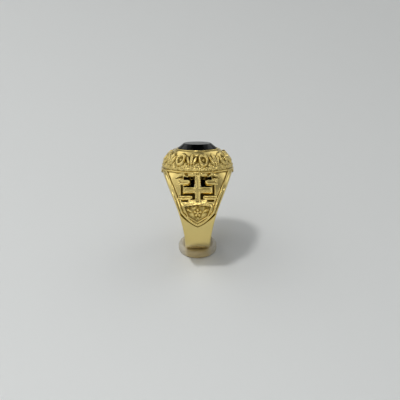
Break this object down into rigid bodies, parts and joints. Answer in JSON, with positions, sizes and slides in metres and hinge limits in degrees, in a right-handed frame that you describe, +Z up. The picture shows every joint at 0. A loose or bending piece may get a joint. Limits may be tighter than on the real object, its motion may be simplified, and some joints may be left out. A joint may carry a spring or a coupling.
{
  "type": "onyx ring on a clear display foot",
  "caption": "Broad cast gold signet-style ring with a domed head, pierced tapering shoulders and an oval faceted black onyx, held up by a small clear foot.",
  "frame": {"origin": "on the foot's underside straight below the middle of the finger hole, where the part stands on a surface; the foot's own centre lies 0.4 mm in front of it", "axes": "+X along the finger hole, +Z up from the surface, +Y from the shoulder that shows its panel to the one behind; the ring is rolled back 19.5 degrees about +X, so its stone faces up and a little towards +Y"},
  "size_m": [0.0188, 0.023, 0.0295],
  "materials": {
    "yellow_gold": "cast yellow gold, polished high places over a darker textured ground",
    "black_onyx": "polished opaque black stone, faceted",
    "clear_acrylic": "clear, slightly cloudy, softly rounded"
  },
  "bodies": {
    "root": {"ring_body": "yellow_gold", "onyx_stone": "black_onyx", "clear_foot": "clear_acrylic"}
  },
  "joints": []
}
